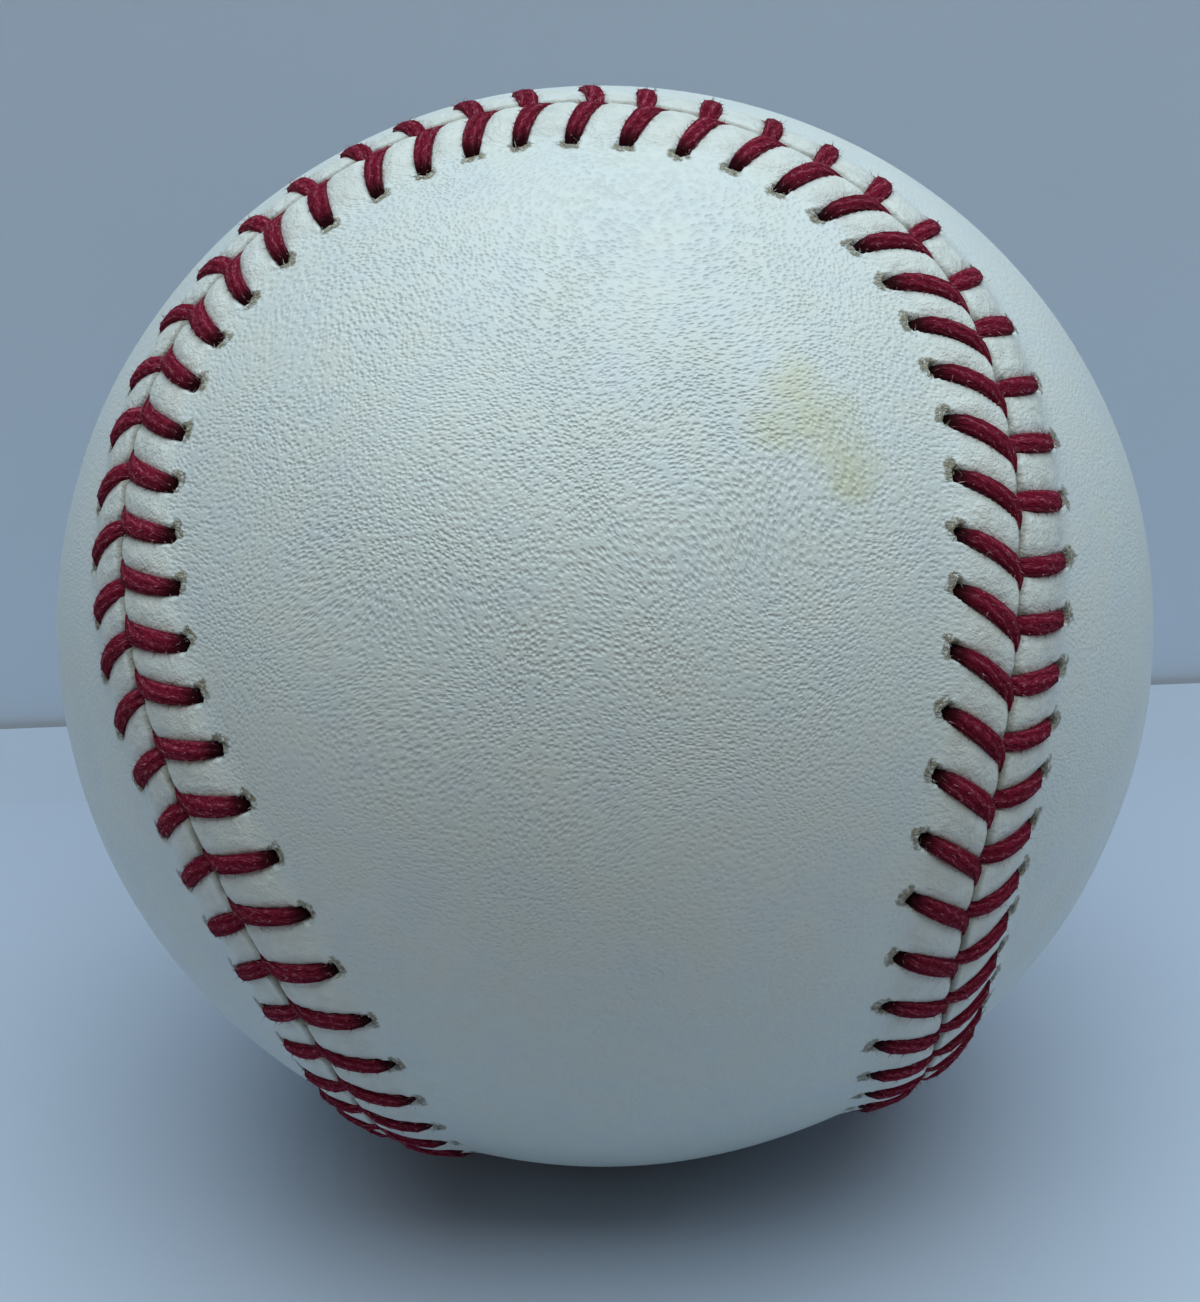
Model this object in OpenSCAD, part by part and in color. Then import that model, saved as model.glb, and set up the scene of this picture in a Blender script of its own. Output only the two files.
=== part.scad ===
// Baseball: a cork and rubber pill, four yarn windings, a coat of cement and two figure-eight
// leather panels, sewn together along one closed seam with double stitches.
// The origin is the ball's centre. Panel A has its waist at +Z and its lobes at +X and -X.
// Panel B is the same panel turned over: its waist is at -Z and its lobes are at +Y and -Y.

/* [Pill] */
// Diameter of the cork ball
core_d = 20.64; // [16:0.01:24]
// Thickness of the black rubber half shells
black_t = 3.97; // [2:0.01:5]
// Thickness of the gasket ring between the black half shells
gasket_t = 0.8; // [0.4:0.1:2]
// Thickness of the red rubber half shells
red_t = 2.38; // [1:0.01:4]

/* [Windings] */
// Thickness of the first winding, four-ply grey wool
first_wool_t = 14.66; // [12:0.01:16]
// Thickness of the second winding, three-ply white wool
second_wool_t = 1.77; // [1:0.01:3]
// Thickness of the third winding, three-ply grey wool
third_wool_t = 2.27; // [1:0.01:3]
// Thickness of the finish winding, fine cotton and polyester yarn
finish_yarn_t = 0.51; // [0.3:0.01:1]

/* [Cover] */
// Thickness of the cement coat under the leather
cement_t = 0.1; // [0.05:0.01:0.3]
// Thickness of the leather
leather_t = 1.2; // [1:0.05:1.6]
// Gap between the two panels' edges, measured at the ball's surface
seam_gap = 0.3; // [0.1:0.05:0.6]
// Width of a panel at its waist, from seam line to seam line over the surface
waist_w = 36.5; // [26:0.5:40]
// Angle in degrees by which the seam swings sideways, which rounds the lobes
lobe_swing = 21.1; // [16:0.1:24]

/* [Stitching] */
// Number of stitches, each of two legs, one from each panel
stitches = 108; // [96:4:116]
// Distance from the seam line to the end of a leg in its hole
hole_inset = 5.0; // [4:0.1:5.6]
// Distance that a leg leans along the seam, from its hole to the seam
leg_lean = 1.9; // [1:0.1:2.6]
// Diameter of the waxed thread
thread_d = 1.3; // [0.9:0.05:1.5]
// Height of a leg's centre line over the leather, half way along the leg
thread_lift = 0.4; // [0.2:0.05:0.6]
// Room round the thread in its hole and in its groove
thread_clear = 0.05; // [0.03:0.01:0.1]

/* [Hidden] */

// Clearance between a layer and the one inside it
layer_gap = 0.01;
// Steps round a ball, round a leg's bend and round the thread
ball_steps = 120;
bend_steps = 72;
thread_steps = 40;
// Straight pieces in a panel's edge, a multiple of four
edge_steps = 180;
// Steps in the table of seam lengths
length_steps = 720;
// Stitches lie closer at each lobe's tip than beside it, by this share of their pitch
crowding_share = 0.16;
// A panel's cutter reaches this many ball radii out, so that its flat strips clear the ball
cutter_reach_share = 2;
// Half the step in degrees over which the seam's direction is measured
seam_probe = 0.05;
// Degrees by which a hole's bore runs on past the leg's end, until it is through the leather
hole_bore_margin = 30;
// Degrees by which a notch runs on past the leg's tip, as a little clearance
notch_margin = 2;

// Radii of the layers, from the inside out
core_r = core_d / 2;
black_in_r = core_r + layer_gap;
black_r = black_in_r + black_t;
red_in_r = black_r + layer_gap;
red_r = red_in_r + red_t;
first_in_r = red_r + layer_gap;
first_r = first_in_r + first_wool_t;
second_in_r = first_r + layer_gap;
second_r = second_in_r + second_wool_t;
third_in_r = second_r + layer_gap;
third_r = third_in_r + third_wool_t;
finish_in_r = third_r + layer_gap;
finish_r = finish_in_r + finish_yarn_t;
cement_in_r = finish_r + layer_gap;
cement_r = cement_in_r + cement_t;
leather_in_r = cement_r + layer_gap;
ball_r = leather_in_r + leather_t;

// A leg's bend: its ends lie in the leather, just over the leather's inner face
thread_r = thread_d / 2;
leg_dip = leather_t - thread_r;
leg_end_r = ball_r - leg_dip;
leg_top_r = ball_r + thread_lift;
// Distance from the seam line to the centre of a leg's tip, which stays on its own side
tip_inset = thread_r + thread_clear;

// Degrees in an arc of a given length over the ball's surface
function surface_deg(length) = length / ball_r * 180 / PI;
function unit(v) = v / norm(v);

// The seam: its latitude is a wave that crosses the equator four times, and its longitude runs
// once round while it swings to and fro four times
seam_peak = 90 - surface_deg(waist_w / 2);
function seam_lat(u) = seam_peak * cos(2 * u);
function seam_lon(u) = u + lobe_swing * sin(4 * u);
function seam_at(u) = [
    cos(seam_lat(u)) * sin(seam_lon(u)),
    cos(seam_lat(u)) * cos(seam_lon(u)),
    sin(seam_lat(u))];
function seam_dir(u) = unit(seam_at(u + seam_probe) - seam_at(u - seam_probe));
// Direction over the surface from the seam into panel A
function inward_dir(u) = cross(seam_dir(u), seam_at(u));

// Unit vector to the surface point that lies so far into panel A and so far along the seam
function beside_seam(u, inward, along) =
    let (move = inward_dir(u) * inward + seam_dir(u) * along)
    let (turn = surface_deg(norm(move)))
    seam_at(u) * cos(turn) + unit(move) * sin(turn);

// Table of the seam's length so far against its parameter, and the parameter read back from it
length_step = 360 / length_steps;
function seam_piece(i) = ball_r * norm(seam_at((i + 1) * length_step) - seam_at(i * length_step));
seam_table = [for (i = 0, s = 0; i <= length_steps; s = s + seam_piece(i), i = i + 1)
    [s, i * length_step]];
seam_length = seam_table[length_steps][0];
pitch = seam_length / stitches;
function seam_param(s) = lookup(s, seam_table);
function stitch_param(i) =
    seam_param(pitch * (i + crowding_share * sin(4 * seam_param(pitch * i))));

// Hollow ball between two radii
module shell(inner_r, outer_r) {
    difference() {
        sphere(r = outer_r, $fn = ball_steps);
        sphere(r = inner_r, $fn = ball_steps);
    }
}

// Half of a hollow ball, over or under the level floor_z, where side is 1 or -1
module half_shell(inner_r, outer_r, side, floor_z) {
    intersection() {
        shell(inner_r, outer_r);
        translate([0, 0, side * (floor_z + outer_r)])
            cube(2 * outer_r, center = true);
    }
}

module cork_core() {
    color("burlywood") sphere(r = core_r, $fn = ball_steps);
}

module black_shell_lower() {
    color("dimgray") half_shell(black_in_r, black_r, -1, gasket_t / 2 + layer_gap);
}

module black_shell_upper() {
    color("dimgray") half_shell(black_in_r, black_r, 1, gasket_t / 2 + layer_gap);
}

// Flat ring, bored to the cork and turned to the black shells' outer face
module core_gasket() {
    color("indianred") intersection() {
        shell(black_in_r, black_r);
        cube([2 * black_r, 2 * black_r, gasket_t], center = true);
    }
}

module red_shell_lower() {
    color("firebrick") half_shell(red_in_r, red_r, -1, layer_gap / 2);
}

module red_shell_upper() {
    color("firebrick") half_shell(red_in_r, red_r, 1, layer_gap / 2);
}

module grey_wool_first() {
    color("gray") shell(first_in_r, first_r);
}

module white_wool_second() {
    color("linen") shell(second_in_r, second_r);
}

module grey_wool_third() {
    color("darkgray") shell(third_in_r, third_r);
}

module finish_yarn() {
    color("ivory") shell(finish_in_r, finish_r);
}

module cement_coat() {
    color("khaki") shell(cement_in_r, cement_r);
}

// Cone from the ball's centre through panel A's edge, closed by flat strips outside the ball.
// Each strip joins two edge points to their mirror images across the panel's long axis.
module panel_cutter() {
    reach = cutter_reach_share * ball_r;
    rim = [for (i = [0:edge_steps - 1])
        reach * beside_seam(i * 360 / edge_steps, seam_gap / 2, 0)];
    quarter = edge_steps / 4;
    function rim_index(i) = 1 + (i + edge_steps) % edge_steps;
    walls = [for (i = [0:edge_steps - 1]) [0, rim_index(i + 1), rim_index(i)]];
    tips = [
        [rim_index(quarter), rim_index(quarter + 1), rim_index(quarter - 1)],
        [rim_index(-quarter - 1), rim_index(-quarter), rim_index(-quarter + 1)]];
    strips = [for (k = [1:2 * quarter - 2])
        [rim_index(quarter + k), rim_index(quarter + k + 1),
         rim_index(quarter - k - 1), rim_index(quarter - k)]];
    polyhedron(points = concat([[0, 0, 0]], rim), faces = concat(walls, tips, strips));
}

module panel_blank() {
    intersection() {
        shell(leather_in_r, ball_r);
        panel_cutter();
    }
}

// One leg of stitch i: part of a ring that rises from its hole, lies over the leather and dives
// into the seam. It is on panel A where side is 1 and on panel B where side is -1.
// The margins in degrees make it longer at its hole and at its tip.
module leg(i, side, r, hole_margin = 0, tip_margin = 0) {
    u = stitch_param(i);
    hole = beside_seam(u, side * hole_inset, 0);
    tip = beside_seam(u, side * tip_inset, -leg_lean);
    half_span = leg_end_r * norm(tip - hole) / 2;
    rise = leg_top_r - leg_end_r * norm(tip + hole) / 2;
    bend_r = (half_span * half_span + rise * rise) / (2 * rise);
    half_angle = 2 * atan2(rise, half_span);
    across = unit(tip - hole);
    up = unit(tip + hole);
    edge_on = cross(across, up);
    centre = up * (leg_top_r - bend_r);
    multmatrix([
        [across.x, up.x, edge_on.x, centre.x],
        [across.y, up.y, edge_on.y, centre.y],
        [across.z, up.z, edge_on.z, centre.z],
        [0, 0, 0, 1]])
        rotate_extrude(start = 90 - half_angle - tip_margin,
            angle = 2 * half_angle + hole_margin + tip_margin, $fn = bend_steps)
            translate([bend_r, 0])
                circle(r = r, $fn = thread_steps);
}

// Holes, grooves and seam notches that a panel needs for its own legs
module leg_cuts(side) {
    for (i = [0:stitches - 1])
        leg(i, side, thread_r + thread_clear, hole_bore_margin, notch_margin);
}

module cover_panel_a() {
    color("whitesmoke") difference() {
        panel_blank();
        leg_cuts(1);
    }
}

module cover_panel_b() {
    color("whitesmoke") difference() {
        rotate(180, [1, 1, 0]) panel_blank();
        leg_cuts(-1);
    }
}

// The thread has a needle at each end. Each needle sews every other leg on either panel.
module strand(first_side) {
    for (i = [0:stitches - 1])
        leg(i, i % 2 == 0 ? first_side : -first_side, thread_r);
}

module stitch_strand_a() {
    color("crimson") strand(1);
}

module stitch_strand_b() {
    color("crimson") strand(-1);
}

cork_core();
black_shell_lower();
black_shell_upper();
core_gasket();
red_shell_lower();
red_shell_upper();
grey_wool_first();
white_wool_second();
grey_wool_third();
finish_yarn();
cement_coat();
cover_panel_a();
cover_panel_b();
stitch_strand_a();
stitch_strand_b();
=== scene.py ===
# %% [markdown]
# # A used baseball, dressed in Blender
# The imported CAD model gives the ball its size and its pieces. This script adds what the eye
# reads: the raised seam, the needle holes, the flattened red thread and each material's finish.
# The CAD model is loaded first and is never moved or resized. Lengths are in millimetres until a
# mesh is made of them, and the table's and the lamp's are in metres.

# %% Load the frame
import math
from functools import partial

import bpy
import numpy as np
from mathutils import Matrix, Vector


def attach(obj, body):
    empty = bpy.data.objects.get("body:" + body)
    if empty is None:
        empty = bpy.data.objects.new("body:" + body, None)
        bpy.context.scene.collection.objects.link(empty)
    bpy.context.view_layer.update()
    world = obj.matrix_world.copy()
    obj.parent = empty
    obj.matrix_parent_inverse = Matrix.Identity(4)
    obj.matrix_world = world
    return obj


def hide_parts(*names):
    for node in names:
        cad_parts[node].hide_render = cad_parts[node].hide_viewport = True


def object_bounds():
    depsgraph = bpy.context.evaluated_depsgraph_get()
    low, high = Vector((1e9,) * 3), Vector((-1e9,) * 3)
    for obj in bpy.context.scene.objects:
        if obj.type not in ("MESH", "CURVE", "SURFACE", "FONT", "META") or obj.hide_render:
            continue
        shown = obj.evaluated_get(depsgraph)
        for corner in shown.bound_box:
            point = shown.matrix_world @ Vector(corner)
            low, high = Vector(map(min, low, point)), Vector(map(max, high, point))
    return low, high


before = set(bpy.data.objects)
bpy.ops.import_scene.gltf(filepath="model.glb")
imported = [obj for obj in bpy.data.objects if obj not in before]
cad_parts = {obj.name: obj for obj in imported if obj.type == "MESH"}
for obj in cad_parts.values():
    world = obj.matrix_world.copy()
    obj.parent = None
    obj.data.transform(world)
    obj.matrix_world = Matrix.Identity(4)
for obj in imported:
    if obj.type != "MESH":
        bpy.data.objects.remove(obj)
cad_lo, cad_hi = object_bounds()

MM = 0.001
BALL_R = (cad_hi.x - cad_lo.x) / 2 / MM
print("nodes", len(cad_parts), "and ball radius in mm", round(BALL_R, 3))

# %% [markdown]
# ## The seam
# A baseball's seam is one closed curve that parts the ball into two like panels. Seen from the
# poles it is a wave in latitude that crosses the equator four times, while its longitude runs once
# round and swings to and fro. These are the same driving values as in the CAD source, and every
# place near the seam is then named by two numbers: the station along it, counted in stitches, and
# the distance in millimetres into panel A. Panel B has the negative distances.

# %% The seam's curve
STITCHES = 108
WAIST_WIDTH = 36.5
LOBE_SWING = math.radians(21.1)
CROWDING = 0.16
LEATHER = 1.2
SEAM_PEAK = math.pi / 2 - WAIST_WIDTH / 2 / BALL_R
CURVE_STEPS = 7200


def seam_point(u):
    """Unit vector whose latitude is a cosine of 2u and whose longitude is u plus a sine of 4u."""
    lat = SEAM_PEAK * np.cos(2 * u)
    lon = u + LOBE_SWING * np.sin(4 * u)
    return np.stack([np.cos(lat) * np.sin(lon), np.cos(lat) * np.cos(lon), np.sin(lat)], axis=-1)


def unit(v):
    """Each vector divided by its own length."""
    return v / np.linalg.norm(v, axis=-1, keepdims=True)


def smooth(lo, hi, x):
    """0 below lo and 1 above hi, with a smooth cubic between them."""
    t = np.clip((x - lo) / (hi - lo), 0, 1)
    return t * t * (3 - 2 * t)


turns = np.linspace(0, 2 * math.pi, CURVE_STEPS + 1)
steps = np.linalg.norm(np.diff(seam_point(turns), axis=0), axis=1) * BALL_R
lengths = np.concatenate([[0], np.cumsum(steps)])
PITCH = lengths[-1] / STITCHES
print("seam length", round(lengths[-1], 1), "mm and stitch pitch", round(PITCH, 3), "mm")

# %% From a station and a distance to a point on the ball
NUDGE = 0.001
HALF_SPAN = 0.1


def station_param(q):
    """The seam's parameter at station q: the length table read back, with the crowding."""
    even = np.interp(np.mod(q, STITCHES) * PITCH, lengths, turns)
    crowded = q + CROWDING * np.sin(4 * even)
    return np.interp(np.mod(crowded, STITCHES) * PITCH, lengths, turns)


def beside_seam(q, inward):
    """Unit vector on the great circle that leaves the seam squarely at q, as far as inward."""
    u = station_param(q)
    here = seam_point(u)
    ahead = unit(seam_point(u + NUDGE) - seam_point(u - NUDGE))
    turn = (inward / BALL_R)[..., None]
    return here * np.cos(turn) + np.cross(ahead, here) * np.sin(turn)


def local_pitch(q, inward):
    """Millimetres along the surface for one stitch, which shrinks inside a lobe."""
    ahead = beside_seam(q + HALF_SPAN, inward)
    behind = beside_seam(q - HALF_SPAN, inward)
    return np.linalg.norm(ahead - behind, axis=-1) * BALL_R / (2 * HALF_SPAN)


# %% [markdown]
# ## Where each leg of a stitch lies
# Each needle comes up through a hole about 5 mm from the crease, and the thread crosses the leather
# to the crease and dives under the other panel. Panel B's legs were pulled tight last: they lap
# over panel A's and bend along the crease. Panel A's bend near their holes and meet it squarely.
# Sewing by hand drifts, and the lists below hold how far, read off the photograph at a few
# stations. Drifts along the seam are in stitches and those across it in millimetres, and side 1 is
# panel A, side -1 panel B. A small seeded scatter is added. The grooves in the leather and the
# threads in them read the same values.

# %% The legs' paths
BAND = 7.5
DRIFT_END = 5.2
BEND = {1: -0.6, -1: 0.25}
SEEN_AT = (0, 30, 37, 41, 46, 50, 52, 54, 57, 60, 62, 65, 68, 72, 74, 80, 108)
CREASE = (-.3, -.3, -.35, -.8, -.25, -.25, -.6, -.55, -.55, -.8, -.5, -.3, -.15, -.8, -1.3, -1, -.3)
HOLE = {1: (0, .15, .25, 0, .1, .22, .3, .18, .05, .1, .12, .14, .12, .1, .1, .05, 0),
        -1: (0, .15, .2, .07, .18, .06, .1, .15, 0, .2, .28, .35, .18, -.04, -.05, 0, 0)}
TIP = {1: (-.2, -.2, -.2, -.28, -.2, -.05, 0, -.1, -.2, -.2, -.2, -.17, -.2, -.18, -.18, -.2, -.2),
       -1: (-.32, -.38, -.38, -.45, -.45, -.15, -.08, -.2, -.42,
            -.27, -.3, -.3, -.38, -.25, -.25, -.3, -.32)}
INSET = {1: (4.5, 4.5, 4.5, 4.9, 4.5, 4.5, 4.6, 4.6, 4.6, 4.6, 4.5, 4.5, 4.4, 3.7, 3.7, 4.2, 4.5),
         -1: (4.6, 4.4, 4.35, 4.25, 4.55, 4.65, 4.7, 4.75, 4.75,
              4.25, 4.4, 4.5, 4.6, 5, 4.6, 4.6, 4.6)}


def seen(values, q):
    """One of the lists above, read between its stations."""
    return np.interp(np.mod(q, STITCHES), SEEN_AT, values)


def scattered(lists, spread):
    """Each stitch's own value on both sides: the list's, plus a seeded scatter."""
    every = np.arange(STITCHES)
    return {side: seen(lists[side], every) + rng.normal(0, spread, STITCHES) for side in (1, -1)}


rng = np.random.default_rng(108)
HOLE_AT = scattered(HOLE, 0.02)
TIP_AT = scattered(TIP, 0.04)
INSET_AT = scattered(INSET, 0.08)
print("holes on panel A lie", INSET_AT[1].min().round(1), "to", INSET_AT[1].max().round(1), "mm in")


def on_hide(side, q, d):
    """Unit vector d from the crease on one panel. The crease's drift ends with the band."""
    return beside_seam(q, side * d + seen(CREASE, q) * (1 - smooth(DRIFT_END, BAND, d)))


def lean_share(side, d, inset):
    """Share of the lean at distance d: 0 at the hole and 1 at the crease, along a parabola."""
    way = np.clip(1 - d / inset, 0, None)
    return way * (1 + BEND[side] * (way - 1))


def leg_station(side, i, d):
    """Station of leg i at distance d, from its hole's to its place at the crease."""
    k = np.mod(i, STITCHES).astype(int)
    share = lean_share(side, d, INSET_AT[side][k])
    return i + HOLE_AT[side][k] + (TIP_AT[side][k] - HOLE_AT[side][k]) * share


def nearest_leg(side, q, d):
    """Number of the leg that passes closest to station q at distance d, by drift alone."""
    share = np.clip(lean_share(side, d, seen(INSET[side], q)), 0, 1)
    return np.round(q - seen(HOLE[side], q) * (1 - share) - seen(TIP[side], q) * share)


# %% [markdown]
# ## How the ball lay
# These are the photograph's right and down, written in the part's axes. They come from the same fit
# as the camera's place further on. The ball's outline in the photograph isn't quite round, and
# four numbers say by how much, in mm: all round, to the right, upwards, and wide against high.

# %% The photograph's directions
OUTLINE = (-0.18, 0.06, 0.18, 0.26)
right = unit(np.array([0.9916, 0.0614, -0.1135]))
forward = unit(np.cross(right, np.array([-0.1131, -0.0096, -0.9935])))
down = np.cross(forward, right)
print("the camera looks along", forward.round(3))

# %% [markdown]
# ## The relief of the leather
# The thread pulls the two edges together, so the leather rises towards the seam in a soft ridge.
# Between two legs it puffs up like a pillow, under each leg it is pressed into a groove, and each
# needle hole is a small torn pit. All of it is one height in mm over the ball, a sum of smooth
# steps, which is easier to aim at real sizes than a sculpted mesh.

# %% Height of the leather near the seam
RIDGE = 0.68
RIDGE_TOP = 1.7
RIDGE_FOOT = 5.9
EDGE = 0.04
EDGE_ROUND = 0.50
EDGE_DROP = 0.40
GROOVE = 0.30
GROOVE_WALL = (0.40, 0.63)
GROOVE_END = (-0.2, 0.3)
NOTCH = 0.25
NOTCH_WALL = (0.25, 0.75)
NOTCH_END = 1.2
PUFF = 0.13
PUFF_WALL = (0.65, 1.3)
PUFF_END = (-1.6, 0.1)
HOLE_DEPTH = {1: 0.55, -1: 0.75}
HOLE_HALF = (0.50, 0.42)
HOLE_WALL = (0.55, 1.1)
HOLE_LUMPS = ((3, 0.13, 2.4), (5, 0.08, 1.7))
RIM, RIM_AT, RIM_WIDTH = 0.06, 1.3, 0.28
TEAR_BEYOND = 0.42
TEAR_ASIDE = 0.28
TEAR_SIZE = 1.80
TEAR_MIRRORED_AT = 40
DEEPEST = 1.05
WAVES, WAVE_HIGH, WAVE_TURNS, WAVE_SHIFT = 5, 0.022, 7, 6.28


def ridge(d):
    """The broad rise towards the seam, from its foot to its flat top."""
    return RIDGE * (1 - smooth(RIDGE_TOP, RIDGE_FOOT, d))


def across_leg(side, q, d):
    """Distance in mm from the nearest leg's middle line, measured square to that line."""
    i = nearest_leg(side, q, d)
    k = np.mod(i, STITCHES).astype(int)
    along = (q - leg_station(side, i, d)) * local_pitch(q, side * d)
    way = np.clip(1 - d / INSET_AT[side][k], 0, None)
    lean = (HOLE_AT[side] - TIP_AT[side])[k] * PITCH / INSET_AT[side][k]
    slope = lean * (1 - BEND[side] + 2 * BEND[side] * way)
    return np.abs(along) / np.sqrt(1 + slope * slope)


def hole_reach(side, q, d, beyond=0.0, aside=0.0, size=1.0):
    """Distance from the nearest hole's middle as a share of its lumpy rim, so the rim is at 1.
    What lies round a hole is larger, further from the seam, and to one side or the other of it."""
    i = np.round(q - seen(HOLE[side], q))
    k = np.mod(i, STITCHES).astype(int)
    x = (q - i - HOLE_AT[side][k]) * local_pitch(q, side * d)
    x = x - aside * np.cos((i - TEAR_MIRRORED_AT) * 4 * math.pi / STITCHES)
    y = d - INSET_AT[side][k] - beyond
    angle = np.arctan2(y, x)
    lumps = 1 + sum(high * np.sin(n * angle + k * shift) for n, high, shift in HOLE_LUMPS)
    return np.hypot(x / HOLE_HALF[0], y / HOLE_HALF[1]) / lumps / size


def leather_height(side, q, d):
    """Ridge less the rounded edge, the legs' grooves and the holes, plus a little puff and rim."""
    w = across_leg(side, q, d)
    r = hole_reach(side, q, d)
    from_edge = np.clip((d - EDGE) / EDGE_ROUND, 0, 1)
    edge = EDGE_DROP * (1 - np.sqrt(1 - (1 - from_edge) ** 2))
    from_hole = d - seen(INSET[side], q)
    groove = GROOVE * (1 - smooth(*GROOVE_WALL, w)) * (1 - smooth(*GROOVE_END, from_hole))
    notch = NOTCH * (1 - smooth(*NOTCH_WALL, w)) * (1 - smooth(0, NOTCH_END, d))
    puff = PUFF * smooth(*PUFF_WALL, w) * (1 - smooth(*PUFF_END, from_hole))
    rim = RIM * np.exp(-((r - RIM_AT) / RIM_WIDTH) ** 2)
    pit = HOLE_DEPTH[side] * (1 - smooth(*HOLE_WALL, r))
    return np.maximum(ridge(d) - edge - groove - notch + puff + rim - pit, -DEEPEST)


def waviness(p):
    """The ball's own shape: with u to the right and v upwards, the outline's numbers times 1, u, v
    and u squared less v squared, and on them five long seeded waves, 0.11 mm high at most."""
    u = p @ right
    v = -p @ down
    total = np.stack([np.ones_like(u), u, v, u * u - v * v], axis=-1) @ np.array(OUTLINE)
    waves = np.random.default_rng(7)
    for wave in range(WAVES):
        swing = p @ waves.normal(0, WAVE_TURNS, 3) + waves.uniform(0, WAVE_SHIFT)
        total = total + WAVE_HIGH * np.sin(swing)
    return total


probe = leather_height(1, np.linspace(0, 4, 400), np.full(400, 1.5))
print("pillows from", round(probe.min(), 2), "to", round(probe.max(), 2), "mm over the ball")

# %% [markdown]
# ## A panel as one closed surface
# The panel is a grid: rows run along the seam and columns run from the middle of the underside,
# round the cut edge and over the top to the middle again. Near the seam the rows are close enough
# to hold the holes, and further in every fourth row goes on. The columns of opposite rows meet on
# the panel's long axis, where they are welded, so the skin is closed without a pole.

# %% Rows and columns
TIP_DRAWN = math.radians(35)
LOBE_REACH = math.radians(140)
ROWS_PER_STITCH = 20
KEEP_EVERY = 4
rows = STITCHES * ROWS_PER_STITCH
kept = rows // KEEP_EVERY
# Distances of the columns from the seam, closest on the rounded edge and then round the holes
ROUND_PARTS, ROUND_POWER = 6, 1.6
RIDGE_END, RIDGE_STEP = 3.1, 0.30
HOLE_SPAN, HOLE_STEP = (3.24, 5.9), 0.155
FOOT_START, FOOT_COLUMNS = 6.1, 4
edge_columns = EDGE + EDGE_ROUND * np.linspace(0, 1, ROUND_PARTS + 1)[:-1] ** ROUND_POWER
ridge_columns = np.arange(EDGE + EDGE_ROUND, RIDGE_END, RIDGE_STEP)
hole_columns = np.arange(*HOLE_SPAN, HOLE_STEP)
foot_columns = np.linspace(FOOT_START, BAND, FOOT_COLUMNS)
band_columns = np.concatenate([edge_columns, ridge_columns, hole_columns, foot_columns])
wall_shares = np.array([1.0, 0.55, 0.2])
IN_COLUMNS = 13
UNDER_COLUMNS = 5
print("rows", rows, "and columns over the top", len(band_columns) + IN_COLUMNS)


def panel_axis(side, q):
    """Point of the panel's long axis for each row: the row's own turn about the ball, drawn in at
    the lobe's tip by a cubic, so that the rows there fan out from a short stretch."""
    edge = beside_seam(q, np.zeros_like(q))
    across = 0 if side > 0 else 1
    turn = np.arctan2(edge[:, across], side * edge[:, 2])
    drawn = turn - TIP_DRAWN * (turn / LOBE_REACH) ** 3
    axis = np.zeros_like(edge)
    axis[:, across] = np.sin(drawn)
    axis[:, 2] = side * np.cos(drawn)
    return axis


def arc_between(a, b, share):
    """Points on the great circle from a to b: each end weighted by the sine of what is left."""
    angle = np.arccos(np.clip((a * b).sum(-1), -1, 1))[:, None, None]
    part = share[None, :, None]
    near = np.sin((1 - part) * angle) * a[:, None]
    far = np.sin(part * angle) * b[:, None]
    return (near + far) / np.sin(angle)


# %% Points and faces of a panel


def panel_points(side):
    """Three blocks of points in mm: the dense band with its wall, the top's inside and the
    underside, and with them each band point's station and distance."""
    q = np.arange(rows) / ROWS_PER_STITCH
    grid_q, grid_d = np.meshgrid(q, band_columns, indexing="ij")
    where = on_hide(side, grid_q, grid_d)
    height = leather_height(side, grid_q, grid_d) + waviness(where)
    band = where * (BALL_R + height)[..., None]
    foot = where[:, :1] * (BALL_R - LEATHER)
    wall = band[:, :1] + (foot - band[:, :1]) * wall_shares[None, :, None]
    dense = np.concatenate([wall, band], axis=1)
    inner_q = q[::KEEP_EVERY]
    axis = panel_axis(side, inner_q)
    start = beside_seam(inner_q, np.full(kept, side * BAND))
    top = arc_between(start, axis, np.linspace(0, 1, IN_COLUMNS + 1)[1:])
    top = top * (BALL_R + waviness(top))[..., None]
    start = on_hide(side, inner_q, np.full(kept, EDGE))
    under = arc_between(start, axis, np.linspace(1, 0, UNDER_COLUMNS + 1)[:-1]) * (BALL_R - LEATHER)
    return dense, top, under, (grid_q, grid_d)


def axis_weld(side):
    """Number of the axis point of each kept row: mirrored rows share the lower row's number."""
    row = np.arange(kept)
    partner = (kept // 2 - row) % kept if side > 0 else -row % kept
    return np.unique(np.minimum(row, partner), return_inverse=True)


def strip(near, far):
    """Quads between two columns of point numbers, round the panel: a, b, next b, next a."""
    return np.stack([near, far, np.roll(far, -1, 0), np.roll(near, -1, 0)], axis=-1).reshape(-1, 4)


def fan(dense_column, kept_column, outwards):
    """Faces that join each kept row's step to the smaller steps of the dense rows beside it."""
    steps = [np.roll(dense_column, -k)[::KEEP_EVERY] for k in range(KEEP_EVERY + 1)]
    ends = [np.roll(kept_column, -1), kept_column]
    ring = np.stack(steps + ends, axis=-1)
    return ring[:, ::-1] if outwards else ring


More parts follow.
